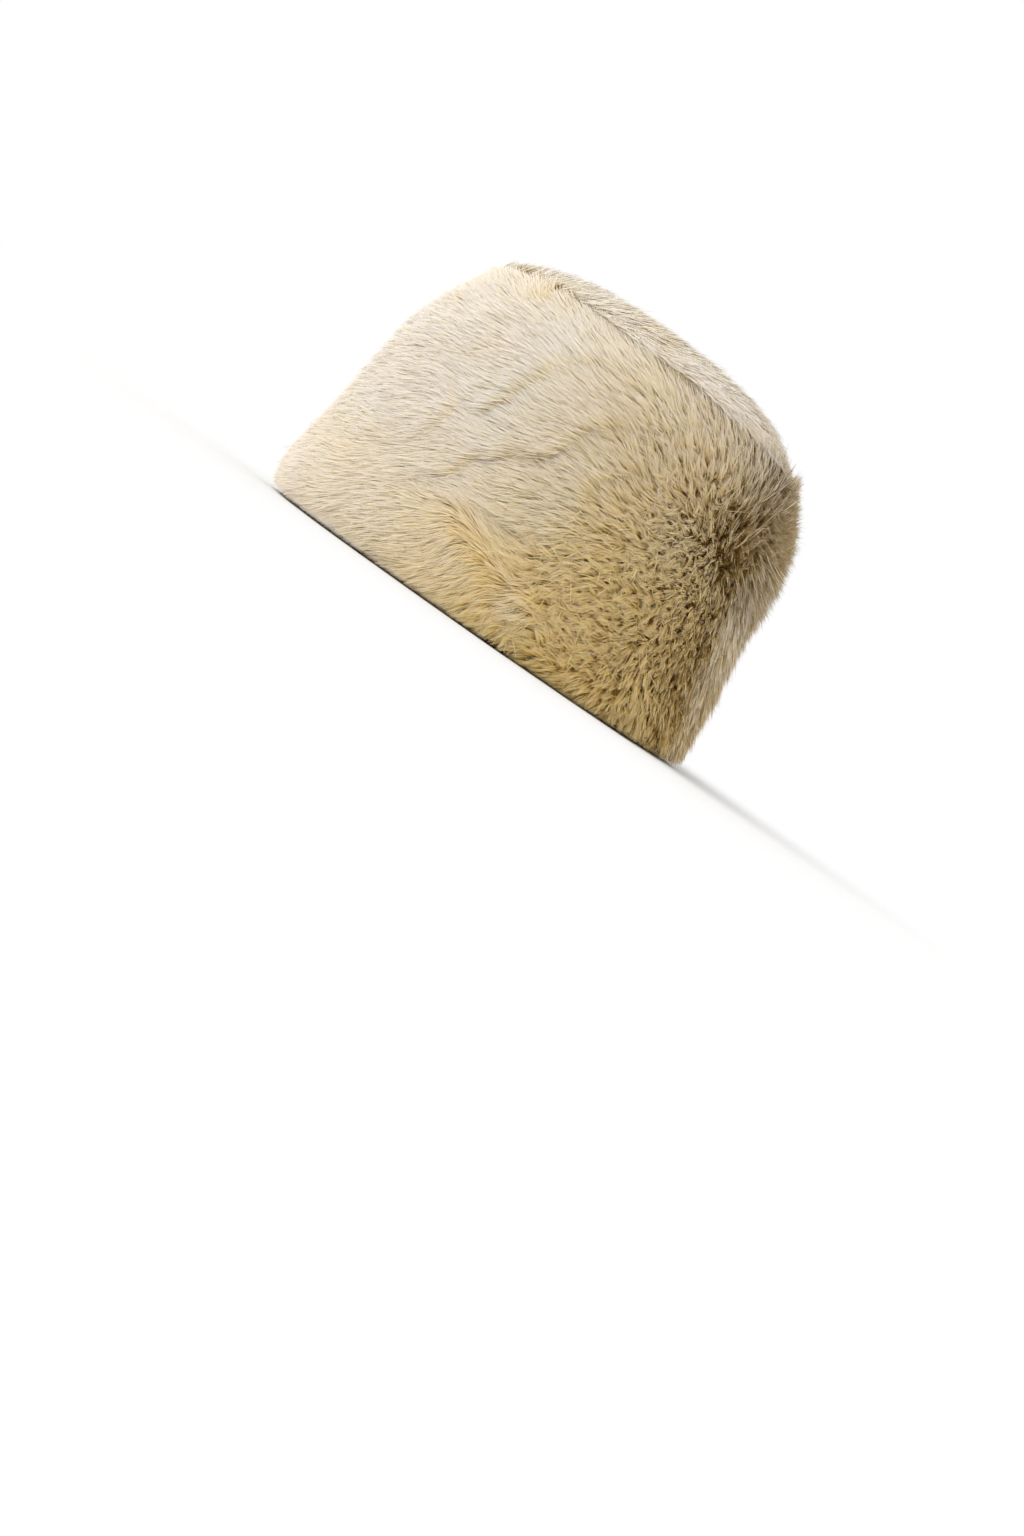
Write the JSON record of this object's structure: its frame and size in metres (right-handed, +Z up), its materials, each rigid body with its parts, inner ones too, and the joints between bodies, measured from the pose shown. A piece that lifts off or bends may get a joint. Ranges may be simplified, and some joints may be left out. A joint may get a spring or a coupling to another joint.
{
  "type": "cossack hat",
  "caption": "Tall oval cossack hat of deep cream fur cloth, with a wide side band, a domed top panel and a narrow band inside the rim.",
  "frame": {"origin": "centre of the rim, on the surface that the hat rests on", "axes": "+Z up through the crown, -Y towards the front of the hat, +X towards the wearer's left"},
  "size_m": [0.2003, 0.2373, 0.1624],
  "materials": {
    "cream_pile": "deep soft cream fur pile with a silky nap",
    "beige_cloth": "matt woven cloth with an overlocked edge"
  },
  "bodies": {
    "root": {"side_band": "cream_pile", "crown_top": "cream_pile", "inner_band": "beige_cloth"}
  },
  "joints": []
}
